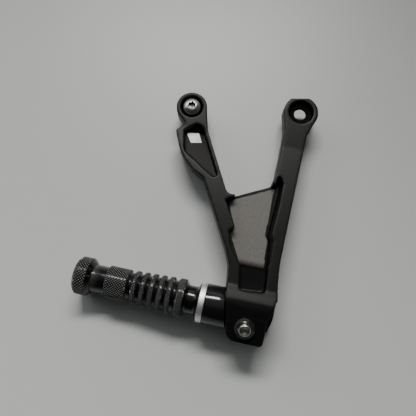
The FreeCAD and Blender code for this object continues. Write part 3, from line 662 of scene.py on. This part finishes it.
# turned pieces: one node tree spins a profile and also cuts the knurl and any hexagon socket
def makeLatheTree():
    tree = bpy.data.node_groups.new("spinProfile", "GeometryNodeTree")
    face = tree.interface
    face.new_socket("Profile", in_out="INPUT", socket_type="NodeSocketGeometry")
    for label, value in (("Columns", 180), ("Knurl Count", 45)):
        face.new_socket(label, in_out="INPUT", socket_type="NodeSocketInt").default_value = value
    for label, value in (("Knurl Pitch", 0.0018), ("Knurl Depth", 0.0004), ("Knurl Top", 0.8)):
        face.new_socket(label, in_out="INPUT", socket_type="NodeSocketFloat").default_value = value
    face.new_socket("Material", in_out="INPUT", socket_type="NodeSocketMaterial")
    face.new_socket("Geometry", in_out="OUTPUT", socket_type="NodeSocketGeometry")
    given, result = tree.nodes.new("NodeGroupInput"), tree.nodes.new("NodeGroupOutput")
    profile = given.outputs["Profile"]
    rows = add(tree, "GeometryNodeAttributeDomainSize", {0: profile}).outputs["Point Count"]
    columns = given.outputs["Columns"]
    grid = add(tree, "GeometryNodeMeshGrid", {
        "Size X": 1.0, "Size Y": 1.0, "Vertices X": calc(tree, "ADD", columns, 1.0), "Vertices Y": rows,
    })
    index = add(tree, "GeometryNodeInputIndex").outputs[0]
    row = calc(tree, "MODULO", index, rows)
    column = calc(tree, "FLOOR", calc(tree, "DIVIDE", index, rows))
    share = calc(tree, "DIVIDE", column, columns)

    def profileValue(kind, source):
        node = add(tree, "GeometryNodeSampleIndex", {
            "Geometry": profile, "Index": row,
        }, data_type=kind, domain="POINT")
        tree.links.new(source, node.inputs["Value"])
        return node.outputs["Value"]

    position = add(tree, "GeometryNodeInputPosition").outputs[0]
    spot = add(tree, "ShaderNodeSeparateXYZ", {0: profileValue("FLOAT_VECTOR", position)}).outputs
    masks = {}
    for label in ("knurl", "hexagon"):
        named = add(tree, "GeometryNodeInputNamedAttribute", {"Name": label}, data_type="FLOAT")
        masks[label] = profileValue("FLOAT", named.outputs["Attribute"])

    # two families of crossing grooves leave pyramids with blunt tops
    waves = []
    around = calc(tree, "MULTIPLY", share, given.outputs["Knurl Count"])
    along = calc(tree, "DIVIDE", spot[0], given.outputs["Knurl Pitch"])
    for operation in ("ADD", "SUBTRACT"):
        phase = calc(tree, "FLOORED_MODULO", calc(tree, operation, around, along), 1.0)
        waves.append(calc(tree, "ABSOLUTE", calc(tree, "MULTIPLY_ADD", phase, 2.0, -1.0)))
    peak = calc(tree, "MINIMUM", calc(tree, "MINIMUM", waves[0], waves[1]), given.outputs["Knurl Top"])
    missing = calc(tree, "SUBTRACT", given.outputs["Knurl Top"], peak)
    fullCut = calc(tree, "MULTIPLY", missing, given.outputs["Knurl Depth"])
    cutIn = calc(tree, "MULTIPLY", fullCut, masks["knurl"])

    # a hexagon's wall is 1 / cos of the angle from the middle of its flat
    angle = calc(tree, "MULTIPLY", share, 2 * math.pi)
    fromFlat = calc(tree, "SUBTRACT", calc(tree, "FLOORED_MODULO", angle, math.pi / 3), math.pi / 6)
    wall = calc(tree, "DIVIDE", 1.0, calc(tree, "COSINE", fromFlat))
    stretch = calc(tree, "MULTIPLY_ADD", calc(tree, "SUBTRACT", wall, 1.0), masks["hexagon"], 1.0)
    radius = calc(tree, "SUBTRACT", calc(tree, "MULTIPLY", spot[1], stretch), cutIn)
    place = add(tree, "ShaderNodeCombineXYZ", {
        0: spot[0], 1: calc(tree, "MULTIPLY", radius, calc(tree, "COSINE", angle)),
        2: calc(tree, "MULTIPLY", radius, calc(tree, "SINE", angle)),
    }).outputs[0]
    spun = add(tree, "GeometryNodeSetPosition", {"Geometry": grid.outputs["Mesh"], "Position": place})
    tip = calc(tree, "MULTIPLY", calc(tree, "DIVIDE", peak, given.outputs["Knurl Top"]), masks["knurl"])
    kept = add(tree, "GeometryNodeStoreNamedAttribute", {
        "Geometry": spun.outputs[0], "Name": "knurlTip", "Value": tip,
    }, data_type="FLOAT", domain="POINT")
    closed = add(tree, "GeometryNodeMergeByDistance", {"Geometry": kept.outputs[0], "Distance": 2e-6})
    smooth = add(tree, "GeometryNodeSetShadeSmooth", {"Geometry": closed.outputs[0], "Shade Smooth": True})
    real = add(tree, "GeometryNodeRealizeInstances", {"Geometry": smooth.outputs[0]})
    painted = add(tree, "GeometryNodeSetMaterial", {
        "Geometry": real.outputs[0], "Material": given.outputs["Material"],
    })
    tree.links.new(painted.outputs[0], result.inputs[0])
    return tree


latheTree = makeLatheTree()


def latheSocket(label):
    return next(item.identifier for item in latheTree.interface.items_tree if item.name == label)


knurlSockets = {"count": "Knurl Count", "pitch": "Knurl Pitch", "depth": "Knurl Depth", "top": "Knurl Top"}


def lathe(name, profile, place, material, body, slot, node, columns=180, sharpAngle=34.0, **knurl):
    # profile rows are (distance, radius, knurl share, hexagon share), in millimetres, in order
    data = bpy.data.meshes.new(name)
    edges = [(index, index + 1) for index in range(len(profile) - 1)]
    data.from_pydata([(row[0] * mm, row[1] * mm, 0) for row in profile], edges, [])
    for column, label in ((2, "knurl"), (3, "hexagon")):
        mask = data.attributes.new(label, "FLOAT", "POINT")
        for index, row in enumerate(profile):
            mask.data[index].value = row[column] if len(row) > column else 0.0
    piece = bpy.data.objects.new(name, data)
    bpy.context.scene.collection.objects.link(piece)
    spin = piece.modifiers.new("spin", "NODES")
    spin.node_group = latheTree
    spin[latheSocket("Columns")] = columns
    for label, value in knurl.items():
        spin[latheSocket(knurlSockets[label])] = value
    spin[latheSocket("Material")] = material
    bakeModifiers(piece)
    piece.data.transform(place)
    work = bmesh.new()
    work.from_mesh(piece.data)
    bmesh.ops.recalc_face_normals(work, faces=work.faces)
    work.to_mesh(piece.data)
    work.free()
    smoothByAngle(piece, sharpAngle)
    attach(piece, body)
    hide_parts(node)
    print(name, len(piece.data.polygons), "faces")
    return piece


def rounded(corners, steps=3):
    # each corner is (distance, radius, rounding, knurl, hexagon); the rounding trims it with a small arc
    rows = []
    count = len(corners)
    for index, (x, r, rounding, knurl, hexagon) in enumerate(corners):
        if not rounding or index in (0, count - 1):
            rows.append((x, r, knurl, hexagon))
            continue
        here = Vector((x, r))
        before = (Vector(corners[index - 1][:2]) - here).normalized()
        after = (Vector(corners[index + 1][:2]) - here).normalized()
        for step in range(steps + 1):
            t = step / steps
            spot = here + before * rounding * (1 - t) ** 2 + after * rounding * t ** 2
            rows.append((spot.x, spot.y, knurl, hexagon))
    return rows


def filled(rows, step):
    # extra rows along knurled stretches, placed on multiples of the step
    result = [rows[0]]
    for before, after in zip(rows, rows[1:]):
        if before[2] > 0 and after[2] > 0 and abs(after[0] - before[0]) > step:
            first = math.floor(before[0] / step) + 1
            last = math.ceil(after[0] / step)
            for number in range(first, last):
                x = number * step
                t = (x - before[0]) / (after[0] - before[0])
                result.append(tuple(a + (b - a) * t for a, b in zip(before, after)))
        result.append(after)
    return result


knurling = {"count": 38, "pitch": 2.2, "depth": 0.95, "top": 0.75, "perPitch": 8}
knurlInputs = {
    "count": knurling["count"], "pitch": knurling["pitch"] * mm, "depth": knurling["depth"] * mm,
    "top": knurling["top"], "columns": knurling["count"] * knurling["perPitch"],
}
sleeve = {
    "rimOuter": 13.35, "rimInner": 13.0, "neckEnd": 42.8, "coneStart": 43.8, "coneRadius": 10.8,
    "knurlFade": 1.4,
    "start": 34.3, "end": 112.0, "neck": 10.0, "wide": 13.5, "wideStart": 45.0, "wideEnd": 49.4,
    "crestHalf": 0.85, "depth": 2.3, "grooves": 6, "rowsPerGroove": 16,
    "bandStart": 87.0, "bandRadius": 11.5, "bandEnd": 101.8, "bore": 7.0, "boltSeat": 52.0, "boltHole": 4.4,
    "spigot": 7.05, "spigotEnd": 42.2,
}


def makeSleeve():
    s = sleeve
    slope = (s["wide"] - s["bandRadius"]) / (s["bandStart"] - s["wideEnd"])
    gap = (s["bandStart"] - s["wideEnd"]) / s["grooves"]
    step = knurling["pitch"] / knurling["perPitch"]

    def crest(x):
        return s["wide"] - slope * (x - s["wideEnd"])

    rows = rounded([
        (s["start"], s["spigot"], 0, 0, 0), (s["start"], s["rimOuter"], 0.15, 0, 0),
        (s["start"] + 0.8, s["rimInner"], 0.3, 0, 0),
        (s["start"] + 1.9, 10.7, 0.7, 0, 0), (s["start"] + 3.4, s["neck"], 0.8, 0, 0),
        (s["neckEnd"], s["neck"], 0.5, 0, 0), (s["coneStart"], s["coneRadius"], 0.4, 0, 0),
        (s["wideStart"] - 0.1, s["wide"] - 0.7, 0.3, 0, 0),
        (s["wideStart"] + 0.5, s["wide"], 0, 1, 0), (s["wideEnd"], s["wide"], 0, 1, 0),
    ])
    for groove in range(s["grooves"]):
        left = s["wideEnd"] + groove * gap + (s["crestHalf"] if groove else 0)
        right = s["wideEnd"] + (groove + 1) * gap - (s["crestHalf"] if groove < s["grooves"] - 1 else 0)
        if groove:
            rows.append((left, crest(left), 1, 0))
        for number in range(1, s["rowsPerGroove"]):
            t = number / s["rowsPerGroove"]
            x = left + (right - left) * t
            dip = s["depth"] * 0.5 * (1 - math.cos(2 * math.pi * t))
            rows.append((x, crest(x) - dip, max(0.0, 1 - s["knurlFade"] * dip / s["depth"]), 0))
        rows.append((right, crest(right), 1, 0))
    rows += [
        (s["bandEnd"] - 0.7, s["bandRadius"], 1, 0), (s["bandEnd"] - 0.25, s["bandRadius"] - 0.2, 0.6, 0),
        (s["bandEnd"], s["bandRadius"] - 0.7, 0, 0), (s["bandEnd"] + 0.1, s["neck"] + 0.1, 0, 0),
        (s["bandEnd"] + 0.4, s["neck"], 0, 0), (s["end"], s["neck"], 0, 0), (s["end"], s["bore"], 0, 0),
        (s["boltSeat"], s["bore"], 0, 0), (s["boltSeat"], s["boltHole"], 0, 0),
        (s["spigotEnd"], s["boltHole"], 0, 0), (s["spigotEnd"], s["spigot"], 0, 0),
        (s["start"], s["spigot"], 0, 0),
    ]
    rows = filled(rows, step)
    lathe("gripSleeve", rows, pegPlace, gripBlack, "peg", "black_anodised", "peg_sleeve", **knurlInputs)


knob = {
    "start": 112.0, "end": 124.8, "radius": 13.75, "plug": 6.95, "plugStart": 100.0,
    "sealMiddle": 106.0, "sealHalf": 0.9, "sealFloor": 5.3, "hexHalf": 4.0, "hexDepth": 6.0, "hexBevel": 0.25,
    "shoulderInner": 10.5, "shoulderOuter": 11.2,
    "dish": 0.6, "dishRim": 8.0, "dishWall": 7.3, "dishFloor": 6.0,
}


def makeKnob():
    k = knob
    step = knurling["pitch"] / knurling["perPitch"]
    sealStart, sealEnd = k["sealMiddle"] - k["sealHalf"], k["sealMiddle"] + k["sealHalf"]
    dishLevel = k["end"] - k["dish"]
    rows = rounded([
        (k["plugStart"], 0.0, 0, 0, 0), (k["plugStart"], k["plug"] - 0.5, 0, 0, 0),
        (k["plugStart"] + 0.5, k["plug"], 0, 0, 0),
        (sealStart, k["plug"], 0, 0, 0), (sealStart, k["sealFloor"], 0, 0, 0),
        (sealEnd, k["sealFloor"], 0, 0, 0), (sealEnd, k["plug"], 0, 0, 0),
        (k["start"], k["plug"], 0, 0, 0), (k["start"], k["shoulderInner"], 0.3, 0, 0),
        (k["start"] + 0.6, k["shoulderOuter"], 0.3, 0, 0),
        (k["start"] + 2.7, k["radius"] - 0.5, 0.3, 0, 0), (k["start"] + 3.1, k["radius"] - 0.05, 0, 0.8, 0),
        (k["start"] + 3.5, k["radius"], 0, 1, 0), (k["end"] - 2.9, k["radius"], 0, 1, 0),
        (k["end"] - 1.9, k["radius"] - 0.2, 0, 1, 0), (k["end"] - 1.0, k["radius"] - 0.85, 0, 1, 0),
        (k["end"] - 0.35, k["radius"] - 1.8, 0, 0.6, 0), (k["end"], k["radius"] - 3.0, 0, 0, 0),
        (k["end"], k["dishRim"], 0, 0, 0), (dishLevel, k["dishWall"], 0, 0, 0),
        (dishLevel, k["dishFloor"], 0, 0, 0), (dishLevel, k["hexHalf"] + k["hexBevel"], 0, 0, 1),
        (dishLevel - k["hexBevel"], k["hexHalf"], 0, 0, 1),
        (k["end"] - k["hexDepth"], k["hexHalf"], 0, 0, 1), (k["end"] - k["hexDepth"], 0.0, 0, 0, 0),
    ])
    rows = filled(rows, step)
    lathe("endKnob", rows, pegPlace, gripBlack, "peg", "black_anodised", "end_knob", **knurlInputs)


ring = {"start": 30.3, "end": 34.3, "radius": 14.0, "bore": 7.05, "edge": 0.35}


def makeRing():
    r = ring
    rows = rounded([
        (r["start"], r["bore"], 0, 0, 0), (r["start"], r["radius"], r["edge"], 0, 0),
        (r["end"], r["radius"], r["edge"], 0, 0), (r["end"], r["bore"], 0, 0, 0),
        (r["start"], r["bore"], 0, 0, 0),
    ])
    lathe("spacerRing", rows, pegPlace, ringMetal, "peg", "bright_ring", "spacer_ring", columns=144)


pin = {
    "rear": -14.0, "front": 19.3, "radius": 4.25, "head": 6.2, "headHeight": 3.0,
    "groove": 14.7, "grooveWidth": 1.0, "grooveFloor": 3.5, "dish": 0.9, "dishRim": 3.1,
    "dishFloor": 0.9,
}


def makePin():
    p = pin
    grooveEnd = p["groove"] + p["grooveWidth"]
    rows = rounded([
        (p["rear"], 0.0, 0, 0, 0), (p["rear"], p["head"] - 0.5, 0.3, 0, 0),
        (p["rear"] + 0.5, p["head"], 0.3, 0, 0), (p["rear"] + p["headHeight"], p["head"], 0, 0, 0),
        (p["rear"] + p["headHeight"], p["radius"], 0, 0, 0),
        (p["groove"], p["radius"], 0.12, 0, 0), (p["groove"], p["grooveFloor"], 0, 0, 0),
        (grooveEnd, p["grooveFloor"], 0, 0, 0), (grooveEnd, p["radius"], 0.15, 0, 0),
        (p["front"] - 0.8, p["radius"], 0.5, 0, 0), (p["front"], p["radius"] - 0.75, 0.2, 0, 0),
        (p["front"], p["dishRim"], 0.15, 0, 0), (p["front"] - p["dish"], p["dishFloor"], 1.0, 0, 0),
        (p["front"] - p["dish"], 0.0, 0, 0, 0),
    ])
    lathe("hingePin", rows, pinPlace, pinMetal, "pin", "stainless", "hinge_pin", columns=96)


makeSleeve()
makeKnob()
makeRing()
makePin()
mergedCopy("peg_adapter", "pegAdapter", glossBlack, "peg", 0.35 * mm)
mergedCopy("mount_bolt", "mountBolt", boltMetal, "loose_bolt", 0.18 * mm)
mergedCopy("pin_clip", "pinClip", clipMetal, "pin", 0.12 * mm)
mergedCopy("pin_washer", "pinWasher", washerDark, "hanger", 0.12 * mm)
mergedCopy("code_label", "blankLabel", labelWhite, "hanger", 0.05 * mm)
print("bolts, clip and label")

# inner pieces keep the design's shape
inner = {
    "front_thrust_washer": slidePlastic, "rear_thrust_washer": slidePlastic, "hinge_bush": bronze,
    "thread_insert": innerMetal, "detent_ball": innerMetal, "detent_spring": clipMetal, "roll_pin": clipMetal,
    "peg_bolt": innerMetal, "peg_lock_washer": clipMetal, "knob_o_ring": sealRubber,
}
for node, material in inner.items():
    nodes[node].data.materials.clear()
    nodes[node].data.materials.append(material)

print("done")
